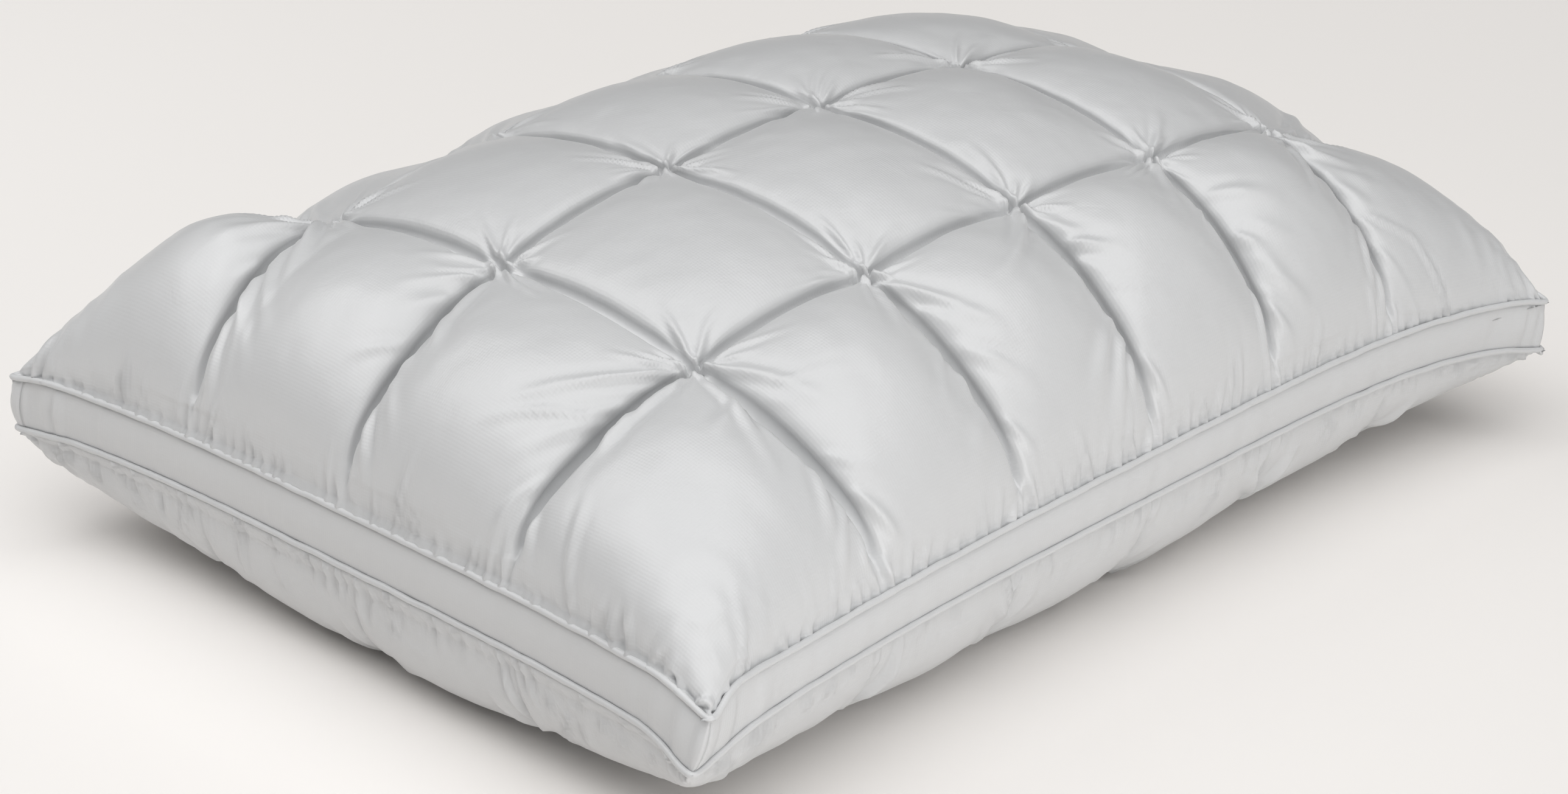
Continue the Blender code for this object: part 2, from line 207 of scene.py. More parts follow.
def settle_corners(points, u, v, lower=False):
    """Shifts the points near each corner as the pillow has settled, and pinches its tip down."""
    made = sizes()
    pull = (np.abs(u) * np.abs(v)) ** 5
    from_tip = np.hypot((1 - np.abs(u)) * made.length / 2, (1 - np.abs(v)) * made.width / 2)
    tip = np.exp(-((from_tip / (LOWER_REACH if lower else DIP_REACH)) ** 2))
    if not lower:
        points[..., 2] -= FRONT_SAG * np.clip(-v, 0, 1) ** 5 * (1 - u**8) * (1 - 0.35 * u)
    for (sign_u, sign_v), (x, y, z, dip, lean_x, lean_y) in CORNER_SHIFT.items():
        here = (np.sign(u) == sign_u) * (np.sign(v) == sign_v)
        points += (pull * here)[..., None] * np.array([x, y, z]) * MM
        bend = [-lean_x, -lean_y, -dip * LOWER_DIP] if lower else [lean_x, lean_y, -dip]
        points += (tip * here)[..., None] * np.array(bend) * MM
    return points


def dome(u, v, powers):
    across = np.clip(1 - u * u, 0, 1) ** powers[0]
    return across * np.clip(1 - v * v, 0, 1) ** powers[1]


def swell(s, t):
    """Rise of the cloth above its tacks: seams sag between tacks, and cells stand proud of seams."""
    across, along = np.abs(np.sin(np.pi * s)), np.abs(np.sin(np.pi * t))
    made = sizes()
    return made.seam_rise * (1 - (1 - across) * (1 - along)) + made.puff * (across * along) ** 0.5


def seam_sink(s, t):
    """Depth of the valleys that run from the outer tacks down to the sewn edge."""
    sink = np.zeros(np.shape(s))
    for across, down, half in ((s, t, HALF_CELLS[1]), (t, s, HALF_CELLS[0])):
        way = np.clip(np.abs(down) - (half - 1), 0, 1)
        valley = 1 - np.abs(np.sin(np.pi * across)) ** VALLEY_POWER
        inner = np.abs(across) < (HALF_CELLS[0] + HALF_CELLS[1] - half) - 0.5
        sink += np.sin(np.pi * way**1.3) * valley * inner
    return sizes().valley * sink


def upper_form(s, t, depth=0.0, puffed=True):
    made = sizes()
    u, v = formed_uv(s, t)
    x, y = plan_point(u, v, SEAM_INSET + depth)
    height = dome(u, v, DOME_POWERS)
    z = edge_height(u, v, made.corner_height + made.gusset) + SEAM_LIFT
    z = z + (made.crown - SEAM_LIFT - depth) * height
    if puffed:
        z = z + swell(s, t) * np.clip(1.6 * height, 0, 1)
    sink = seam_sink(s, t) if puffed else 0 * s
    x, y, z = x - 0.6 * sink * u**3, y - 0.6 * sink * v**3, z - 0.8 * sink
    return settle_corners(np.stack([x, y, z], -1), u, v)


def lower_form(s, t, depth=0.0, puffed=True):
    made = sizes()
    u, v = formed_uv(s, t)
    x, y = plan_point(u, v, SEAM_INSET + depth)
    height = np.where(u < 0, dome(u, v, FULL_POWERS), dome(u, v, BELLY_POWERS))
    z = edge_height(u, v, made.corner_height) - SEAM_LIFT
    z = z - (made.belly - SEAM_LIFT - depth) * height
    z = np.maximum(z, made.under_seam + depth)
    if puffed:
        z = z - UNDER_SWELL * swell(s, t) * np.clip(1.6 * height, 0, 1)
    z = np.maximum(z, depth)
    points = settle_corners(np.stack([x, y, z], -1), u, v, lower=True)
    points[..., 2] = np.maximum(points[..., 2], depth)
    return points


# ---------------------------------------------------------------- mesh tools


def new_object(name, data, material):
    made = bpy.data.objects.new(name, data)
    bpy.context.scene.collection.objects.link(made)
    data.materials.clear()
    data.materials.append(material)
    return made


def finish_piece(piece, nodes):
    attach(piece, ROOT_BODY)
    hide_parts(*nodes)
    return piece


def apply_modifiers(piece):
    """Turns a piece and its live modifiers into a plain mesh."""
    graph = bpy.context.evaluated_depsgraph_get()
    plain = bpy.data.meshes.new_from_object(piece.evaluated_get(graph), depsgraph=graph)
    piece.modifiers.clear()
    piece.data = plain
    return piece


def grid_mesh(name, points, uv, flip=False):
    """A sheet of quads over a grid of points, with a UV map in metres of cloth."""
    rows, columns = points.shape[:2]
    index = np.arange(rows * columns).reshape(rows, columns)
    corners = [index[:-1, :-1], index[:-1, 1:], index[1:, 1:], index[1:, :-1]]
    if flip:
        corners.reverse()
    faces = np.stack([c.ravel() for c in corners], -1)
    mesh = bpy.data.meshes.new(name)
    mesh.from_pydata(points.reshape(-1, 3).tolist(), [], faces.tolist())
    layer = mesh.uv_layers.new(name="cloth")
    layer.data.foreach_set("uv", uv.reshape(-1, 2)[faces.ravel()].astype(np.float32).ravel())
    mesh.shade_smooth()
    return mesh


def coordinates(mesh):
    flat = np.empty(len(mesh.vertices) * 3, np.float32)
    mesh.vertices.foreach_get("co", flat)
    return flat.reshape(-1, 3).astype(float)


def set_coordinates(mesh, points):
    mesh.vertices.foreach_set("co", np.ascontiguousarray(points, np.float32).ravel())
    mesh.update()


def vertex_normals(mesh):
    flat = np.empty(len(mesh.vertices) * 3, np.float32)
    mesh.vertex_normals.foreach_get("vector", flat)
    return flat.reshape(-1, 3).astype(float)


def run_along(line):
    """Length of the line up to each of its points."""
    return np.concatenate([[0], np.cumsum(np.linalg.norm(np.diff(line, axis=0), axis=1))])


def wander(x, y, seed):
    """Smooth noise from -1 to 1 at each point."""
    layer = seed * 7.31
    values = [noise.noise((a, b, layer)) for a, b in zip(np.ravel(x), np.ravel(y))]
    return np.array(values).reshape(np.shape(x))


# ---------------------------------------------------------------- quilted faces


def even_stations(axis, spacing):
    """Quilting coordinates whose formed points are evenly spaced, with one on every seam."""
    half = HALF_CELLS[axis]
    found = [0.0]
    for cell in range(int(half)):
        fine = np.linspace(cell, cell + 1, 400)
        zero = np.zeros_like(fine)
        s, t = (fine, zero) if axis == 0 else (zero, fine)
        run = run_along(upper_form(s, t, puffed=False))
        steps = max(4, round(run[-1] / spacing))
        even = np.linspace(0, 1, steps + 1)[1:]
        wanted = run[-1] * (even - CROWDING * np.sin(2 * np.pi * even) / (2 * np.pi))
        found += list(np.interp(wanted, run, fine))
        found[-1] = float(cell + 1)
    return np.array([-x for x in reversed(found[1:])] + found)


def laid_flat(form, s, t):
    """Flat places of the cloth: as long along each middle line as the formed cloth is."""
    rows, columns = s.shape
    middle_row, middle_column = rows // 2, columns // 2
    points = form(s, t, puffed=False)
    along = run_along(points[middle_row])
    across = run_along(points[:, middle_column])
    along -= along[middle_column]
    across -= across[middle_row]
    rim_along = run_along(points[0])
    rim_across = run_along(points[:, 0])
    rim_along -= rim_along[middle_column]
    rim_across -= rim_across[middle_row]
    near_long = np.abs(t / HALF_CELLS[1]) ** 4
    near_short = np.abs(s / HALF_CELLS[0]) ** 4
    gather = 1.10
    x = along[None, :] * (1 - near_long) + rim_along[None, :] * gather * near_long
    y = across[:, None] * (1 - near_short) + rim_across[:, None] * gather * near_short
    flat = np.stack([x, y, np.zeros_like(x)], -1)
    taken_in = np.zeros_like(flat)
    for row in TACK_ROWS:
        for column in TACK_COLUMNS:
            here = (np.abs(s - column + HALF_CELLS[0]) < 1e-6) & (np.abs(t - row + HALF_CELLS[1]) < 1e-6)
            away = flat - flat[here][0]
            distance = np.linalg.norm(away, axis=-1)
            pinch = PINCH * np.exp(-((distance / PINCH_REACH) ** 2)) * np.clip(distance / PINCH_CORE, 0, 1)
            taken_in += away / np.maximum(distance, 1e-9)[..., None] * pinch[..., None]
    return (flat + taken_in) * (1 + sizes().excess)


def hold_weights(s, t):
    """How firmly each point of the cloth is held: sewn edge and tacks fully, seams partly."""
    edge = np.maximum(np.abs(s) / HALF_CELLS[0], np.abs(t) / HALF_CELLS[1]) > 0.9999
    off_s, off_t = np.abs(s - np.round(s)), np.abs(t - np.round(t))
    on_seam = (off_s < 0.001) | (off_t < 0.001)
    on_tack = (off_s < 0.001) & (off_t < 0.001)
    weights = np.where(on_seam, 0.999, 0.0)
    weights[on_tack | edge] = 1.0
    return weights


SATEEN_CLOTH = {
    "quality": 6,
    "mass": 0.05,
    "air_damping": 4,
    "tension_stiffness": 40,
    "compression_stiffness": 40,
    "shear_stiffness": 12,
    "bending_stiffness": 0.08,
    "tension_damping": 20,
    "compression_damping": 20,
    "shear_damping": 15,
    "bending_damping": 1,
    "pin_stiffness": 1.0,
}


def settle_cloth(piece, rest, weights, pressure):
    """Settles the formed cloth by simulation. It moves by less than 1 mm: the form gives the shape."""
    scene = bpy.context.scene
    bpy.context.view_layer.objects.active = piece
    piece.shape_key_add(name="Basis")
    flat = piece.shape_key_add(name="flat")
    flat.data.foreach_set("co", rest.astype(np.float32).ravel())
    flat.value = 0
    held = piece.vertex_groups.new(name="held")
    for weight in np.unique(weights[weights > 0]):
        held.add(np.nonzero(weights == weight)[0].tolist(), float(weight), "REPLACE")
    cloth = piece.modifiers.new("filling", "CLOTH")
    settings = cloth.settings
    for key, value in SATEEN_CLOTH.items():
        setattr(settings, key, value)
    settings.vertex_group_mass = "held"
    settings.rest_shape_key = flat
    settings.use_pressure = True
    settings.uniform_pressure_force = pressure
    settings.effector_weights.gravity = 0
    cloth.collision_settings.use_collision = False
    cloth.collision_settings.use_self_collision = False
    cloth.point_cache.frame_start = 1
    cloth.point_cache.frame_end = sizes().frames
    for frame_number in range(1, sizes().frames + 1):
        scene.frame_set(frame_number)
    apply_modifiers(piece)
    scene.frame_set(1)


def crease_seams(mesh, s, t):
    """Keeps the quilting seams sharp when the mesh is made finer."""
    ends = np.empty(len(mesh.edges) * 2, np.int32)
    mesh.edges.foreach_get("vertices", ends)
    first, second = ends.reshape(-1, 2).T
    sharp = np.zeros(len(mesh.edges), np.float32)
    for line, half in ((s.ravel(), HALF_CELLS[0]), (t.ravel(), HALF_CELLS[1])):
        whole = np.abs(line - np.round(line)) < 1e-4
        inside = np.abs(line) < half - 0.001
        sharp[(whole & inside)[first] & (whole & inside)[second] & (line[first] == line[second])] = 1.0
    layer = mesh.attributes.new("crease_edge", "FLOAT", "EDGE")
    layer.data.foreach_set("value", sharp)


def fold(along, across, length, width, height):
    """One soft-ended fold: a ridge beside a shallower valley, in mm."""
    ends = np.clip(along / (0.18 * length), 0, 1) * np.clip((length - along) / (0.55 * length), 0, 1)
    wide = width * (0.7 + 0.6 * np.clip(along / length, 0, 1))
    ridge = np.exp(-((across / wide) ** 2))
    valley = np.exp(-(((np.abs(across) - 1.9 * wide) / wide) ** 2))
    return height * ends * (ridge - 0.45 * valley)


def tack_folds(rng, tack_s, tack_t):
    """(direction, length, width, height, bend) of the folds that run out of one tack."""
    folds = []
    count = 17
    for k in range(count):
        angle = 2 * np.pi * (k + rng.uniform(-0.35, 0.35)) / count
        length = rng.uniform(14, 52)
        folds.append((angle, length, rng.uniform(1.2, 2.0), rng.uniform(0.8, 1.9), rng.uniform(-0.5, 0.5)))
    for k in range(4):
        down_side = (k == 1 and tack_t > 0.5) or (k == 3 and tack_t < -0.5)
        down_end = (k == 0 and tack_s > 1.5) or (k == 2 and tack_s < -1.5)
        falls = down_side or down_end
        for side in (-1, 1):
            if rng.uniform() > (0.85 if falls else 0.35):
                continue
            angle = k * np.pi / 2 + side * rng.uniform(0.16, 0.42)
            reach = rng.uniform(55, 100) if falls else rng.uniform(28, 50)
            height = rng.uniform(1.4, 2.8) if falls else rng.uniform(0.8, 1.6)
            folds.append((angle, reach, rng.uniform(2.2, 3.8), height, side * rng.uniform(-0.1, 0.3)))
    return folds


def pleat_tacks(points, normals, s, t, seed):
    """Pinches the cloth into a small pleat at each tack, with folds that run out of it."""
    lift = np.zeros(len(points))
    rng = np.random.default_rng(seed)
    for row in TACK_ROWS:
        for column in TACK_COLUMNS:
            tack_s, tack_t = column - HALF_CELLS[0], row - HALF_CELLS[1]
            a = (s - tack_s) * CELL_ON_CLOTH[0]
            b = (t - tack_t) * CELL_ON_CLOTH[1]
            radius = np.hypot(a, b)
            near = radius < 105
            a, b, radius = a[near], b[near], radius[near]
            added = np.zeros(len(a))
            for angle, length, width, height, bend in tack_folds(rng, tack_s, tack_t):
                turned = angle + bend * radius / 60
                along = a * np.cos(turned) + b * np.sin(turned)
                across = b * np.cos(turned) - a * np.sin(turned)
                added += fold(along - 3, across, length, width, height)
            added -= 3.0 * np.exp(-((radius / 5.5) ** 2))
            turn = rng.uniform(-0.6, 0.6) + np.pi / 2
            along = a * math.cos(turn) + b * math.sin(turn)
            across = b * math.cos(turn) - a * math.sin(turn)
            lips = np.exp(-(((np.abs(across) - 3.4) / 1.9) ** 2)) * np.exp(-((along / 11) ** 2))
            added += rng.uniform(4.0, 6.5) * lips
            lift[near] += added
    return points + normals * lift[:, None] * MM


def fade_to_rim(to_rim):
    """Share of the groove's depth, to_rim cells from the sewn edge: most in the outer cells."""
    outer = np.clip((1.0 - to_rim) / 0.5, 0, 1)
    return np.clip(to_rim / 0.025, 0, 1) * (0.8 + 0.2 * np.clip(to_rim / 0.2, 0, 1)) * (1 + 0.45 * outer)


def groove_seams(points, normals, s, t, depth):
    """A narrow valley where the thread draws two cells together, and cells that swell at the rim."""
    from_s = np.where(np.abs(s) < HALF_CELLS[0] - 0.6, np.abs(s - np.round(s)) * 0.110, 1) / MM
    from_t = np.where(np.abs(t) < HALF_CELLS[1] - 0.6, np.abs(t - np.round(t)) * 0.135, 1) / MM
    to_rim_t, to_rim_s = HALF_CELLS[1] - np.abs(t), HALF_CELLS[0] - np.abs(s)
    groove_s = np.exp(-from_s / GROOVE_WIDTH) * fade_to_rim(to_rim_t)
    groove_t = np.exp(-from_t / GROOVE_WIDTH) * fade_to_rim(to_rim_s)
    sides = []
    for across, to_rim in ((s, to_rim_t), (t, to_rim_s)):
        way = np.clip(1 - to_rim, 0, 1)
        sides.append(np.abs(np.sin(np.pi * across)) ** 0.4 * way**2 * np.sqrt(1 - way))
    plump = RIM_PLUMP * depth / GROOVE_DEPTH * np.maximum(*sides)
    return points + normals * (plump - depth * np.maximum(groove_s, groove_t))[:, None] * MM


def gather_edges(points, normals, s, t, seed):
    """Fine uneven gathers where the cloth is eased into the piping seam."""
    rng = np.random.default_rng(seed + 100)
    u, v = formed_uv(s, t)
    made = sizes()
    lift = np.zeros(len(points))
    sides = (
        (v, u, made.length, made.width, DOME_POWERS[1]),
        (u, v, made.width, made.length, DOME_POWERS[0]),
    )
    for across, along, length, depth, power in sides:
        rise = made.crown * np.clip(1 - across**2, 0, 1) ** power
        from_edge = np.hypot((1 - np.abs(across)) * depth / 2, rise) / MM
        place = along * length / 2 / MM
        for sign in (-1, 1):
            near = (np.sign(across) == sign) & (from_edge < 62)
            x, y = place[near], from_edge[near]
            added = np.zeros(len(x))
            at = -length / 2 / MM
            while at < length / 2 / MM:
                to_corner = length / 2 / MM - abs(at)
                close = 1.35 if to_corner < 90 else 1.0
                reach = rng.uniform(9, 30) * close
                if rng.uniform() < 0.22:
                    reach *= 1.7
                slant = rng.uniform(-0.35, 0.35)
                height = rng.uniform(0.5, 2.2) * close
                across_fold = x - at - slant * y
                band = np.abs(across_fold) < 14
                added[band] += fold(y[band] + 2, across_fold[band], reach, rng.uniform(1.3, 2.3), height)
                at += rng.uniform(4.5, 13)
            lift[near] += added * np.clip(y / 1.5, 0, 1)
    return points + normals * lift[:, None] * MM


def settle_outline(points, s, t):
    """Lets the far side and the right end lie flatter, and the far left corner stand fuller."""
    far, end = np.clip(t - 1, 0, 1), np.clip(s - 2, 0, 1)
    left = np.clip(-s - 1.98, 0, 1.02) / 1.02
    behind = np.clip(t - 0.75, 0, 1.25) / 1.25
    corner = np.sin(np.pi * left) * np.sin(np.pi * behind)
    drop = 11 * np.sin(np.pi * far**0.8) * (1 - np.clip(2 * left, 0, 1)) + 8 * np.sin(np.pi * end)
    points = points.copy()
    points[:, 2] += (17 * corner - drop) * MM
    return points


def drag_cloth(points, normals, s, t, seed):
    """Long soft folds that lean away from the seams on the sides, and arcs across the corners."""
    rng = np.random.default_rng(seed + 200)
    lift = np.zeros(len(points))
    rim_seams = [(column, sign, True) for column in range(-2, 3) for sign in (-1, 1)]
    rim_seams += [(row, sign, False) for row in range(-1, 2) for sign in (-1, 1)]
    for place, sign, on_long_side in rim_seams:
        if on_long_side:
            a, b = (s - place) * CELL_ON_CLOTH[0], (HALF_CELLS[1] - sign * t) * CELL_ON_CLOTH[1]
        else:
            a, b = (t - place) * 135, (HALF_CELLS[0] - sign * s) * CELL_ON_CLOTH[0]
        near = (np.abs(a) < 62) & (b < 125) & (b > 0)
        a, b = a[near], b[near]
        added = np.zeros(len(a))
        for _ in range(11):
            start = rng.uniform(12, 105)
            lean = rng.choice([-1, 1]) * rng.uniform(0.3, 1.0)
            along = -(b - start) * math.cos(lean) + a * math.sin(lean)
            across = a * math.cos(lean) + (b - start) * math.sin(lean)
            reach = rng.uniform(20, 62)
            added += fold(along - 5, across, reach, rng.uniform(1.8, 4.2), rng.uniform(0.5, 1.7))
        lift[near] += added * np.clip(b / 6, 0, 1)
    made = sizes()
    u, v = formed_uv(s, t)
    out_x, out_y = (1 - np.abs(u)) * made.length / 2 / MM, (1 - np.abs(v)) * made.width / 2 / MM
    from_tip = np.hypot(out_x, out_y)
    evenness = np.minimum(out_x, out_y) / np.maximum(from_tip, 1e-6)
    for at, width, height in ((19, 2.2, 0.6), (27, 2.6, 0.9), (37, 3.0, 0.7), (50, 3.6, 0.5)):
        bent = from_tip + 5 * evenness + 2.5 * np.sin(6 * evenness + at)
        lift += height * np.exp(-(((bent - at) / width) ** 2)) * np.clip(evenness * 4, 0, 1)
    return points + normals * lift[:, None] * MM


def crumple(points, normals, seed):
    """Faint unevenness of the filling and of the cloth over it."""
    soft = wander(points[:, 0] * 22, points[:, 1] * 22 + points[:, 2] * 9, seed)
    fine = wander(points[:, 0] * 70, points[:, 1] * 70 + points[:, 2] * 40, seed + 1)
    return points + normals * ((0.9 * soft + 0.28 * fine) * MM)[:, None]


def close_back(mesh, form, flip):
    """Closes the pad with its backing cloth, joined to the panel round the sewn edge."""
    s, t = np.meshgrid(even_stations(0, 5 * BACKING_DEPTH / 7), even_stations(1, 5 * BACKING_DEPTH / 7))
    inner = form(s, t, depth=BACKING_DEPTH, puffed=False)
    back = grid_mesh("back", inner, inner[..., :2], not flip)
    work = bmesh.new()
    work.from_mesh(mesh)
    work.from_mesh(back)
    bpy.data.meshes.remove(back)
    rims = [edge for edge in work.edges if edge.is_boundary]
    bmesh.ops.bridge_loops(work, edges=rims)
    bmesh.ops.recalc_face_normals(work, faces=work.faces)
    if work.calc_volume(signed=True) < 0:
        bmesh.ops.reverse_faces(work, faces=work.faces)
    for face in work.faces:
        face.smooth = True
    work.to_mesh(mesh)
    work.free()


def read_line(mesh, name):
    values = np.empty(len(mesh.vertices), np.float32)
    mesh.attributes[name].data.foreach_get("value", values)
    return values.astype(float)


def build_face(name, form, flip, pressure, spacing, seed, nodes):
    """One quilted pad: formed, settled as cloth, pleated at its tacks, closed with its backing."""
    s_line, t_line = even_stations(0, spacing), even_stations(1, spacing)
    s, t = np.meshgrid(s_line, t_line)
    start = form(s, t)
    rest = laid_flat(form, s, t)
    uv = rest[..., :2] + 0.5
    mesh = grid_mesh(name, start, uv, flip)
    for layer_name, line in (("quilt_s", s), ("quilt_t", t)):
        layer = mesh.attributes.new(layer_name, "FLOAT", "POINT")
        layer.data.foreach_set("value", line.astype(np.float32).ravel())
    crease_seams(mesh, s, t)
    piece = new_object(name, mesh, bpy.data.materials["cotton_sateen"])
    points = coordinates(mesh)
    jitter = wander(points[:, 0] * 90, points[:, 1] * 90, seed) * 0.4 * MM
    weights = hold_weights(s, t).ravel()
    points[:, 2] += jitter * (weights < 0.9)
    set_coordinates(mesh, points)
    settle_cloth(piece, rest, weights, pressure)
    smooth = piece.modifiers.new("finer", "SUBSURF")
    smooth.levels = smooth.render_levels = 1
    apply_modifiers(piece)
    mesh = piece.data
    points, normals = coordinates(mesh), vertex_normals(mesh)
    s_fine, t_fine = read_line(mesh, "quilt_s"), read_line(mesh, "quilt_t")
    if not flip:
        points = settle_outline(points, s_fine, t_fine)
    points = groove_seams(points, normals, s_fine, t_fine, 0.4 * GROOVE_DEPTH if flip else GROOVE_DEPTH)
    points = pleat_tacks(points, normals, s_fine, t_fine, seed)
    points = gather_edges(points, normals, s_fine, t_fine, seed)
    points = drag_cloth(points, normals, s_fine, t_fine, seed)
    inside = (np.abs(s_fine) < HALF_CELLS[0] - 0.01) & (np.abs(t_fine) < HALF_CELLS[1] - 0.01)
    points = np.where(inside[:, None], crumple(points, normals, seed), points)
    share_u, share_v = np.abs(s_fine) / HALF_CELLS[0], np.abs(t_fine) / HALF_CELLS[1]
    points[:, 0] += np.sign(s_fine) * (share_u > 0.9999) * SEAM_INSET
    points[:, 1] += np.sign(t_fine) * (share_v > 0.9999) * SEAM_INSET
    points[:, 2] = np.maximum(points[:, 2], 0.0002)
    set_coordinates(mesh, points)
    keep_tacks(name, points, vertex_normals(mesh), s_fine, t_fine)
    mesh.attributes.remove(mesh.attributes["quilt_s"])
    mesh.attributes.remove(mesh.attributes["quilt_t"])
    close_back(mesh, form, flip)
    return finish_piece(piece, nodes)


TACK_PLACES = {}


def keep_tacks(name, points, normals, s, t):
    """Remembers where each tack sits on the finished cloth, for its knot."""
    TACK_PLACES[name] = []
    for row in TACK_ROWS:
        for column in TACK_COLUMNS:
            tack_s, tack_t = column - HALF_CELLS[0], row - HALF_CELLS[1]
            at = int(np.argmin(np.hypot(s - tack_s, t - tack_t)))
            around = np.hypot(s - tack_s, t - tack_t) < 0.12
            facing = normals[around].mean(0)
            TACK_PLACES[name].append((points[at], facing / np.linalg.norm(facing)))


def knot_tree(name, radius, material):
    """Geometry Nodes: one small wrapped knot on each point, leaned by the point's facing."""
    tree = bpy.data.node_groups.new(name, "GeometryNodeTree")
    sockets = tree.interface
    sockets.new_socket("Geometry", in_out="INPUT", socket_type="NodeSocketGeometry")
    for label, value in (("Knot radius", radius), ("Thread radius", 0.32 * radius)):
        socket = sockets.new_socket(label, in_out="INPUT", socket_type="NodeSocketFloat")
        socket.default_value = value
        socket.subtype = "DISTANCE"
    sockets.new_socket("Seed", in_out="INPUT", socket_type="NodeSocketInt").default_value = 5
    sockets.new_socket("Geometry", in_out="OUTPUT", socket_type="NodeSocketGeometry")
    given = add_node(tree, "NodeGroupInput")
    spiral = add_node(
        tree,
        "GeometryNodeCurveSpiral",
        inputs={"Resolution": 14, "Rotations": 2.5, "Height": 0.0},
        links={"Start Radius": given.outputs["Knot radius"], "End Radius": given.outputs["Thread radius"]},
    )
    lift = add_node(
        tree,
        "GeometryNodeCurveSpiral",
        inputs={"Resolution": 10, "Rotations": 1.0},
        links={
            "Start Radius": given.outputs["Knot radius"],
            "End Radius": given.outputs["Knot radius"],
            "Height": given.outputs["Thread radius"],
        },
    )
    both = add_node(tree, "GeometryNodeJoinGeometry")
    tree.links.new(spiral.outputs["Curve"], both.inputs["Geometry"])
    tree.links.new(lift.outputs["Curve"], both.inputs["Geometry"])
    section = add_node(
        tree,
        "GeometryNodeCurvePrimitiveCircle",
        inputs={"Resolution": 5},
        links={"Radius": given.outputs["Thread radius"]},
    )
    thread = add_node(
        tree,
        "GeometryNodeCurveToMesh",
        inputs={"Fill Caps": True},
        links={"Curve": both.outputs["Geometry"], "Profile Curve": section.outputs["Curve"]},
    )
    turn = add_node(
        tree,
        "FunctionNodeRandomValue",
        {"data_type": "FLOAT"},
        {"Min": 0.0, "Max": 6.28},
        {"Seed": given.outputs["Seed"]},
    )
    facing = add_node(
        tree, "GeometryNodeInputNamedAttribute", {"data_type": "FLOAT_VECTOR"}, {"Name": "facing"}
    )
    leaned = add_node(
        tree,
        "FunctionNodeAlignRotationToVector",
        {"axis": "Z"},
        links={"Vector": facing.outputs["Attribute"]},
    )
    spun = add_node(
        tree,
        "FunctionNodeAxisAngleToRotation",
        inputs={"Axis": (0, 0, 1)},
        links={"Angle": turn.outputs["Value"]},
    )
    rotation = add_node(
        tree,
        "FunctionNodeRotateRotation",
        {"rotation_space": "LOCAL"},
        links={"Rotation": leaned.outputs["Rotation"], "Rotate By": spun.outputs["Rotation"]},
    )
    placed = add_node(
        tree,
        "GeometryNodeInstanceOnPoints",
        links={
            "Points": given.outputs["Geometry"],
            "Instance": thread.outputs["Mesh"],
            "Rotation": rotation.outputs["Rotation"],
        },
    )
    real = add_node(tree, "GeometryNodeRealizeInstances", links={"Geometry": placed.outputs["Instances"]})
    painted = add_node(
        tree,
        "GeometryNodeSetMaterial",
        inputs={"Material": material},
        links={"Geometry": real.outputs["Geometry"]},
    )
    result = add_node(tree, "NodeGroupOutput")
    tree.links.new(painted.outputs["Geometry"], result.inputs["Geometry"])
    return tree


def build_knots(name, face, radius, nodes):
    """A knot at each tack of one face, standing for the CAD's tacks."""
    places = TACK_PLACES[face]
    mesh = bpy.data.meshes.new(name)
    mesh.from_pydata([list(point + facing * 0.4 * radius) for point, facing in places], [], [])
    layer = mesh.attributes.new("facing", "FLOAT_VECTOR", "POINT")
    layer.data.foreach_set("vector", np.array([facing for _, facing in places], np.float32).ravel())
    material = bpy.data.materials["sewing_thread"]
    piece = new_object(name, mesh, material)
    tree = knot_tree(f"{name} tree", radius, material)
    knots = piece.modifiers.new("knots", "NODES")
    knots.node_group = tree
    for item in tree.interface.items_tree:
        if item.in_out == "INPUT" and item.name == "Knot radius":
            knots[item.identifier] = radius
    apply_modifiers(piece)
    face_outwards(piece.data)
    piece.data.shade_smooth()
    return finish_piece(piece, nodes)


def build_inner(name, depth, nodes):
    """The filled ticking bag inside the quilted cover, with its two panels joined where they meet."""
    s, t = np.meshgrid(even_stations(0, 11 * MM), even_stations(1, 11 * MM))
    upper = upper_form(s, t, depth=depth, puffed=False)
    lower = lower_form(s, t, depth=depth, puffed=False)
    upper[..., 2] = np.maximum(upper[..., 2], lower[..., 2])
    rim = np.maximum(np.abs(s) / HALF_CELLS[0], np.abs(t) / HALF_CELLS[1]) > 0.9999
    middle = (upper[..., 2] + lower[..., 2]) / 2
    upper[rim, 2] = lower[rim, 2] = middle[rim]
    top = grid_mesh(name, upper, upper[..., :2])
    under = grid_mesh("under", lower, lower[..., :2] + 0.7, True)
    work = bmesh.new()
    work.from_mesh(top)
    work.from_mesh(under)
    bpy.data.meshes.remove(under)
    edge = [v for v in work.verts if v.is_boundary]
    bmesh.ops.remove_doubles(work, verts=edge, dist=0.05 * MM)
    work.to_mesh(top)
    work.free()
    face_outwards(top)
    top.shade_smooth()
    piece = new_object(name, top, bpy.data.materials["cotton_ticking"])
    smooth = piece.modifiers.new("finer", "SUBSURF")
    smooth.levels = smooth.render_levels = 1
    apply_modifiers(piece)
    return finish_piece(piece, nodes)


# ---------------------------------------------------------------- rim


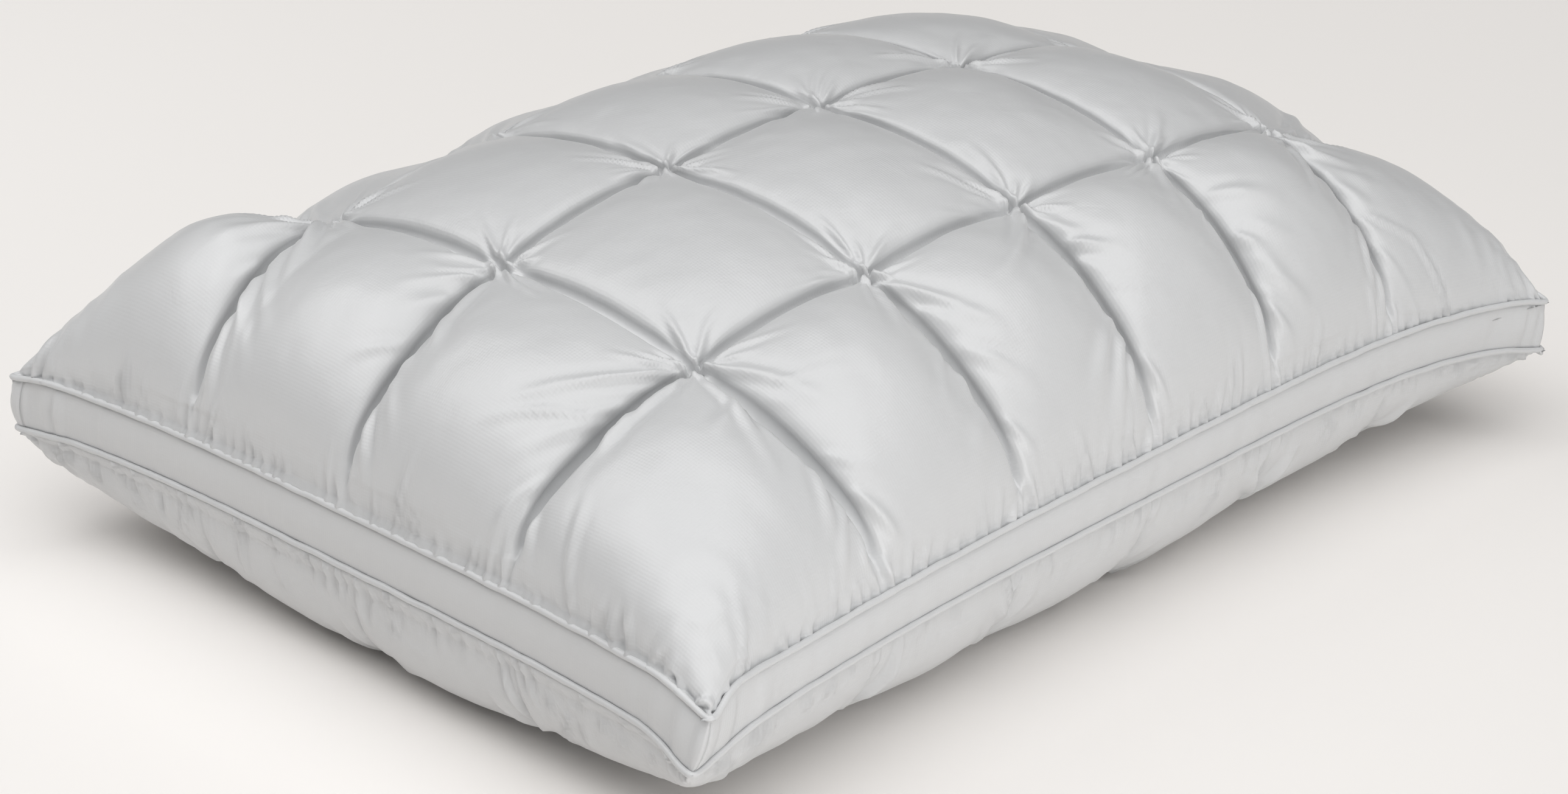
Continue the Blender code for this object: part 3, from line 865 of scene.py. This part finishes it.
def rim_path(corner_height, step=2.0 * MM):
    """Points round the rim, evenly spaced and anticlockwise from the front left corner."""
    lower = corner_height < sizes().corner_height + MM
    runs = []
    for along_x, sign in ((True, -1), (False, 1), (True, 1), (False, -1)):
        a = np.linspace(-1, 1, 600)[:-1] * (-sign if along_x else sign)
        full = np.full_like(a, sign)
        u, v = (a, full) if along_x else (full, a)
        x, y = plan_point(u, v)
        run = np.stack([x, y, edge_height(u, v, corner_height)], -1)
        runs.append(settle_corners(run, u, v, lower))
    loop = np.concatenate(runs)
    closed = np.vstack([loop, loop[:1]])
    run = run_along(closed)
    count = int(run[-1] / step)
    wanted = np.arange(count) * run[-1] / count
    path = np.stack([np.interp(wanted, run, closed[:, k]) for k in range(3)], -1)
    kernel = np.exp(-((np.arange(-6, 7) * step / (3.5 * MM)) ** 2))
    kernel /= kernel.sum()
    smooth = np.zeros_like(path)
    for k, weight in zip(range(-6, 7), kernel):
        smooth += weight * np.roll(path, k, axis=0)
    return smooth


def rim_directions(path):
    along = np.roll(path, -1, axis=0) - np.roll(path, 1, axis=0)
    along /= np.linalg.norm(along, axis=1)[:, None]
    outward = np.stack([along[:, 1], -along[:, 0], np.zeros(len(along))], -1)
    outward /= np.linalg.norm(outward, axis=1)[:, None]
    up = np.cross(outward, along)
    return outward, np.where(up[:, 2:] < 0, -up, up)


def build_piping(name, corner_height, nodes, seed):
    """The bias strip drawn round its cord, slightly uneven as a hand-fed seam is."""
    step = 1.6
    path = rim_path(corner_height, step * MM)
    outward, up = rim_directions(path)
    sides = 14
    angles = np.arange(sides) * 2 * np.pi / sides
    run, level = np.arange(len(path)) * step, np.zeros(len(path))
    uneven = wander(run / 9, level, seed) * 0.10 + wander(run / 3.1, level, seed + 2) * 0.06
    radius = sizes().piping * (1 + uneven)
    path = path + up * (wander(run / 17, level, seed + 5) * 0.5 * MM)[:, None]
    rings = (
        path[:, None, :]
        + outward[:, None, :] * (np.cos(angles)[None, :] * radius[:, None])[..., None]
        + up[:, None, :] * (np.sin(angles)[None, :] * radius[:, None])[..., None]
    )
    count = len(path)
    index = np.arange(count * sides).reshape(count, sides)
    after, beside = np.roll(index, -1, axis=0), np.roll(index, -1, axis=1)
    both = np.roll(after, -1, axis=1)
    faces = np.stack([index.ravel(), after.ravel(), both.ravel(), beside.ravel()], -1)
    mesh = bpy.data.meshes.new(name)
    mesh.from_pydata(rings.reshape(-1, 3).tolist(), [], faces.tolist())
    uv = mesh.uv_layers.new(name="cloth")
    ring_of, side_of = np.divmod(faces, sides)
    ring_of = ring_of.astype(float)
    side_of = side_of.astype(float)
    ring_of[:, 1:3] = np.where(ring_of[:, 1:3] < ring_of[:, :1], count, ring_of[:, 1:3])
    side_of[:, 2:4] = np.where(side_of[:, 2:4] < side_of[:, :1], sides, side_of[:, 2:4])
    places = np.stack([ring_of * step * MM, side_of * 2 * np.pi * 2.0 * MM / sides], -1)
    uv.data.foreach_set("uv", places.astype(np.float32).ravel())
    mesh.shade_smooth()
    face_outwards(mesh)
    piece = new_object(name, mesh, bpy.data.materials["bias_strip"])
    return finish_piece(piece, nodes)


def face_outwards(mesh):
    work = bmesh.new()
    work.from_mesh(mesh)
    bmesh.ops.recalc_face_normals(work, faces=work.faces)
    if work.calc_volume(signed=True) < 0:
        bmesh.ops.reverse_faces(work, faces=work.faces)
    work.to_mesh(mesh)
    work.free()


def build_gusset(name, side, seed):
    """One strip of the gusset, puckered where it is sewn."""
    made = sizes()
    step = 2.0 * MM
    low = rim_path(made.corner_height, step)
    high = rim_path(made.corner_height + made.gusset, step)
    count = min(len(low), len(high))
    low, high = low[:count], high[:count]
    corners = []
    for corner in ((-1, -1), (1, -1), (1, 1), (-1, 1)):
        away = low[:, :2] - np.array(corner) * [made.length / 2, made.width / 2]
        corners.append(int(np.argmin(np.linalg.norm(away, axis=1))))
    start, end = corners[side], corners[(side + 1) % 4]
    if end <= start:
        end += count
    which = np.arange(start, end + 1) % count
    outward, _ = rim_directions(low)
    rows = 15
    share = np.linspace(0, 1, rows)
    run, level = np.arange(len(which)) * step / MM, np.zeros(len(which))
    from_corner = np.minimum(run, run[-1] - run)
    pucker = 0.6 + 3.4 * np.exp(-((from_corner / 42) ** 2))
    waves = wander(run / 10, level, seed) + 0.45 * wander(run / 5, level, seed + 4)
    slow = wander(run / 60, level, seed + 8)
    bulge = (2.4 + 1.2 * slow + waves * pucker)[:, None] * np.sin(np.pi * share)[None, :] ** 0.8
    at_edges = (np.exp(-share * 9) + np.exp(-(1 - share) * 9)) * np.sin(np.pi * share) ** 0.5
    edge_waves = (wander(run / 4, level, seed + 6) * 0.5)[:, None] * at_edges[None, :]
    rise = share[None, :, None]
    base = low[which][:, None, :] * (1 - rise) + high[which][:, None, :] * rise
    inset, trim = 1.7 * MM, 0.8 * MM
    points = base + outward[which][:, None, :] * ((bulge + edge_waves) * MM - inset)[..., None]
    points[..., 2] += ((0.5 - share) * 2 * trim)[None, :]
    uv = np.stack(np.broadcast_arrays((run * MM)[:, None], (share * made.gusset)[None, :]), -1)
    mesh = grid_mesh(name, points, uv)
    piece = new_object(name, mesh, bpy.data.materials["gusset_sateen"])
    thick = piece.modifiers.new("thickness", "SOLIDIFY")
    thick.thickness = 0.8 * MM
    thick.offset = -1
    apply_modifiers(piece)
    if float(np.dot(vertex_normals(mesh).mean(0), outward[which].mean(0))) < 0:
        piece.data.flip_normals()
    face_outwards(piece.data)
    return finish_piece(piece, [f"gusset_{name.split('_')[1]}"])


# ---------------------------------------------------------------- materials


def add_node(tree, kind, settings=None, inputs=None, links=None):
    """Adds a node, sets its properties and input values, and links other nodes' outputs to it."""
    node = tree.nodes.new(kind)
    for key, value in (settings or {}).items():
        setattr(node, key, value)
    for key, value in (inputs or {}).items():
        node.inputs[key].default_value = value
    for key, source in (links or {}).items():
        tree.links.new(source, node.inputs[key])
    return node


def cloth_material(name, color, roughness, sheen, weave_mm, weave_strength, mottling=0.02):
    """Woven cloth: base colour with faint mottling, and raised threads both ways."""
    material = bpy.data.materials.new(name)
    material.use_nodes = True
    tree = material.node_tree
    shader = tree.nodes["Principled BSDF"]
    shader.inputs["Roughness"].default_value = roughness
    shader.inputs["Specular IOR Level"].default_value = 0.65
    shader.inputs["Sheen Weight"].default_value = sheen
    shader.inputs["Sheen Roughness"].default_value = 0.4
    shader.inputs["IOR"].default_value = 1.5
    places = add_node(tree, "ShaderNodeTexCoord")
    mottle = add_node(
        tree,
        "ShaderNodeTexNoise",
        inputs={"Scale": 14.0, "Detail": 3.0},
        links={"Vector": places.outputs["Object"]},
    )
    ramp = add_node(tree, "ShaderNodeMapRange", links={"Value": mottle.outputs["Fac"]})
    ramp.inputs["To Min"].default_value = 1 - mottling
    ramp.inputs["To Max"].default_value = 1 + mottling
    tinted = add_node(
        tree,
        "ShaderNodeVectorMath",
        {"operation": "SCALE"},
        {0: color},
        {"Scale": ramp.outputs["Result"]},
    )
    tree.links.new(tinted.outputs["Vector"], shader.inputs["Base Color"])
    heights = []
    for direction in ("X", "Y"):
        waves = add_node(
            tree,
            "ShaderNodeTexWave",
            {"bands_direction": direction, "wave_profile": "SIN"},
            {"Scale": 1000 / weave_mm / 20 * math.pi, "Distortion": 0.6, "Detail": 1.0, "Detail Scale": 2.0},
            {"Vector": places.outputs["UV"]},
        )
        heights.append(waves.outputs["Fac"])
    weave = add_node(tree, "ShaderNodeMath", {"operation": "ADD"}, links={0: heights[0], 1: heights[1]})
    creases = add_node(
        tree,
        "ShaderNodeTexNoise",
        inputs={"Scale": 55.0, "Detail": 4.0, "Roughness": 0.55, "Distortion": 0.8},
        links={"Vector": places.outputs["Object"]},
    )
    soft_bump = add_node(
        tree,
        "ShaderNodeBump",
        inputs={"Strength": 0.25, "Distance": 1.2 * MM},
        links={"Height": creases.outputs["Fac"]},
    )
    thread_bump = add_node(
        tree,
        "ShaderNodeBump",
        inputs={"Strength": weave_strength, "Distance": 0.06 * MM},
        links={"Height": weave.outputs["Value"], "Normal": soft_bump.outputs["Normal"]},
    )
    tree.links.new(thread_bump.outputs["Normal"], shader.inputs["Normal"])
    return material


def plain_material(name, color, roughness):
    material = bpy.data.materials.new(name)
    material.use_nodes = True
    shader = material.node_tree.nodes["Principled BSDF"]
    shader.inputs["Base Color"].default_value = (*color, 1)
    shader.inputs["Roughness"].default_value = roughness
    return material


# ---------------------------------------------------------------- operators


class PILLOW_OT_materials(bpy.types.Operator):
    """Makes the cloth, piping, thread and floor materials"""

    bl_idname = "pillow.materials"
    bl_label = "Make materials"

    def execute(self, context):
        tones = colours()
        # Fine mercerised cotton woven with long floats: a white with a broad, soft satin gloss. Its
        # threads are some 0.12 mm apart and are drawn 0.8 mm apart, so that they show faintly.
        cloth_material("cotton_sateen", tones.sateen, 0.33, 0.04, 0.8, 0.4)
        cloth_material("gusset_sateen", tones.sateen, 0.33, 0.04, 0.8, 0.4)
        # The same sateen cut on the bias and drawn tight: a thin, slightly duller bead.
        cloth_material("bias_strip", tones.piping, 0.38, 0.04, 0.8, 0.4)
        # Twisted cotton thread: a small matt knot with a coarse twist.
        cloth_material("sewing_thread", tones.thread, 0.5, 0.1, 0.5, 0.8)
        # Tightly woven unbleached cotton: dull and a little cream. Drawn at 1.2 mm for 0.3 mm.
        cloth_material("cotton_ticking", tones.ticking, 0.8, 0.2, 1.2, 0.8)
        # Painted board: pale, warm and without gloss.
        plain_material("studio_floor", tones.floor, 0.9)
        return {"FINISHED"}


class PILLOW_OT_upper_face(bpy.types.Operator):
    """Forms and quilts the upper face"""

    bl_idname = "pillow.upper_face"
    bl_label = "Upper quilted face"

    def execute(self, context):
        nodes = ["top_panel", "top_fibre_layer", "top_backing_cloth"]
        piece = build_face("upper_quilted_face", upper_form, False, 4.0, sizes().cloth_step, UPPER_SEED, nodes)
        return {"FINISHED"}


class PILLOW_OT_lower_face(bpy.types.Operator):
    """Forms and quilts the lower face, which lies on the bed"""

    bl_idname = "pillow.lower_face"
    bl_label = "Lower quilted face"

    def execute(self, context):
        nodes = ["bottom_panel", "bottom_fibre_layer", "bottom_backing_cloth"]
        step = 1.3 * sizes().cloth_step
        piece = build_face("lower_quilted_face", lower_form, True, 3.0, step, LOWER_SEED, nodes)
        return {"FINISHED"}


class PILLOW_OT_pipings(bpy.types.Operator):
    """Runs the corded piping round both edges of the gusset"""

    bl_idname = "pillow.pipings"
    bl_label = "Pipings"

    def execute(self, context):
        made = sizes()
        upper = made.corner_height + made.gusset
        build_piping("upper_piping", upper, ["top_piping_cord", "top_piping_cover"], 31)
        build_piping("lower_piping", made.corner_height, ["bottom_piping_cord", "bottom_piping_cover"], 37)
        return {"FINISHED"}


class PILLOW_OT_gusset(bpy.types.Operator):
    """Sews the four strips of the gusset between the pipings"""

    bl_idname = "pillow.gusset"
    bl_label = "Gusset"

    def execute(self, context):
        for side, name in enumerate(("front", "right", "back", "left")):
            build_gusset(f"strip_{name}", side, 41 + side)
        return {"FINISHED"}


class PILLOW_OT_knots(bpy.types.Operator):
    """Ties a knot at each tack of both quilted faces"""

    bl_idname = "pillow.knots"
    bl_label = "Tack knots"

    def execute(self, context):
        for side, face in (("top", "upper_quilted_face"), ("bottom", "lower_quilted_face")):
            nodes = [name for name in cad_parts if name.startswith(f"{side}_tack_")]
            build_knots(f"{side}_knots", face, 1.5 * MM, nodes)
        return {"FINISHED"}


class PILLOW_OT_inner(bpy.types.Operator):
    """Forms the filled ticking bag inside the cover"""

    bl_idname = "pillow.inner"
    bl_label = "Inner pillow"

    def execute(self, context):
        nodes = ["inner_casing_top", "inner_casing_bottom", "core_fill"]
        piece = build_inner("inner_pillow", 21 * MM, nodes)
        return {"FINISHED"}


class PILLOW_OT_stage(bpy.types.Operator):
    """Sets the floor, the light and the camera"""

    bl_idname = "pillow.stage"
    bl_label = "Stage"

    def execute(self, context):
        bpy.ops.mesh.primitive_plane_add(size=30, location=(0, 0, 0))
        floor = context.object
        floor.name = "floor"
        floor.data.materials.append(bpy.data.materials["studio_floor"])
        add_lights()
        add_camera()
        return {"FINISHED"}


def add_lamp(name, kind, place, aim, energy):
    data = bpy.data.lights.new(name, kind)
    data.energy = energy
    lamp = bpy.data.objects.new(name, data)
    bpy.context.scene.collection.objects.link(lamp)
    lamp.location = place
    lamp.rotation_euler = (Vector(aim) - Vector(place)).to_track_quat("-Z", "Y").to_euler()
    return data


def add_lights():
    """A broad bank overhead, a low fill in front, a large lamp behind for the satin's gloss, and a
    pale surround that is dark low on the left and high on the right."""
    world = bpy.data.worlds.new("studio")
    world.use_nodes = True
    tree = world.node_tree
    direction = add_node(tree, "ShaderNodeTexCoord")
    shades = []
    low_left = ((-0.9, 0.1, -0.45), 0.0, 0.4, "#101010")
    high_right = ((0.85, 0.25, 0.4), 0.1, 0.75, "#303030")
    for toward, start, end, dark in (low_left, high_right):
        facing = add_node(
            tree,
            "ShaderNodeVectorMath",
            {"operation": "DOT_PRODUCT"},
            {1: toward},
            {0: direction.outputs["Generated"]},
        )
        blend = add_node(tree, "ShaderNodeValToRGB", links={"Fac": facing.outputs["Value"]})
        for element, position, color in zip(blend.color_ramp.elements, (start, end), ("#fbfaf9", dark)):
            element.position, element.color = position, (*linear(color), 1)
        shades.append(blend.outputs["Color"])
    both = add_node(
        tree, "ShaderNodeVectorMath", {"operation": "MULTIPLY"}, links={0: shades[0], 1: shades[1]}
    )
    background = tree.nodes["Background"]
    background.inputs["Strength"].default_value = 0.48
    tree.links.new(both.outputs["Vector"], background.inputs["Color"])
    bpy.context.scene.world = world
    bank = add_lamp("overhead bank", "SUN", (-0.3, -0.7, 2.7), (0, 0, 0), 1.8)
    bank.angle = math.radians(75)
    fill = add_lamp("front fill", "AREA", (-0.55, -1.35, 0.32), (-0.05, -0.2, 0.5), 6)
    gloss = add_lamp("far gloss", "AREA", (-0.9, 1.0, 1.6), (-0.1, 0, 0.15), 10)
    for lamp, across in ((fill, 0.9), (gloss, 1.3)):
        lamp.shape = "SQUARE"
        lamp.size = across
    bpy.context.scene.view_settings.view_transform = "Standard"


def add_camera():
    data = bpy.data.cameras.new("view")
    data.sensor_width = 36
    data.lens = 75.67
    camera = bpy.data.objects.new("view", data)
    bpy.context.scene.collection.objects.link(camera)
    azimuth, elevation = math.radians(-46.26), math.radians(24.476)
    back = Vector(
        (
            math.sin(azimuth) * math.cos(elevation),
            -math.cos(azimuth) * math.cos(elevation),
            math.sin(elevation),
        )
    )
    camera.location = (-1.15477, -1.08125, 0.76738)
    camera.rotation_mode = "QUATERNION"
    camera.rotation_quaternion = (-back).to_track_quat("-Z", "Y")
    data.clip_start, data.clip_end = 0.05, 100
    bpy.context.scene.camera = camera


class PILLOW_PT_panel(bpy.types.Panel):
    """Lists the steps of the pillow's making"""

    bl_label = "Bed pillow"
    bl_idname = "PILLOW_PT_panel"
    bl_space_type = "VIEW_3D"
    bl_region_type = "UI"
    bl_category = "Pillow"

    def draw(self, context):
        for group in (context.scene.pillow_sizes, context.scene.pillow_colours):
            for name in group.__annotations__:
                self.layout.prop(group, name)
        for step in STEPS:
            self.layout.operator(step.bl_idname)


STEPS = (
    PILLOW_OT_materials,
    PILLOW_OT_upper_face,
    PILLOW_OT_lower_face,
    PILLOW_OT_pipings,
    PILLOW_OT_gusset,
    PILLOW_OT_knots,
    PILLOW_OT_inner,
    PILLOW_OT_stage,
)
CLASSES = (PillowSizes, PillowColours, *STEPS, PILLOW_PT_panel)


def register():
    for made in CLASSES:
        bpy.utils.register_class(made)
    bpy.types.Scene.pillow_sizes = PointerProperty(type=PillowSizes)
    bpy.types.Scene.pillow_colours = PointerProperty(type=PillowColours)


def unregister():
    del bpy.types.Scene.pillow_colours
    del bpy.types.Scene.pillow_sizes
    for made in reversed(CLASSES):
        bpy.utils.unregister_class(made)


def main():
    register()
    bpy.ops.pillow.materials()
    bpy.ops.pillow.upper_face()
    bpy.ops.pillow.lower_face()
    bpy.ops.pillow.pipings()
    bpy.ops.pillow.gusset()
    bpy.ops.pillow.knots()
    bpy.ops.pillow.inner()
    bpy.ops.pillow.stage()


if __name__ == "__main__":
    main()
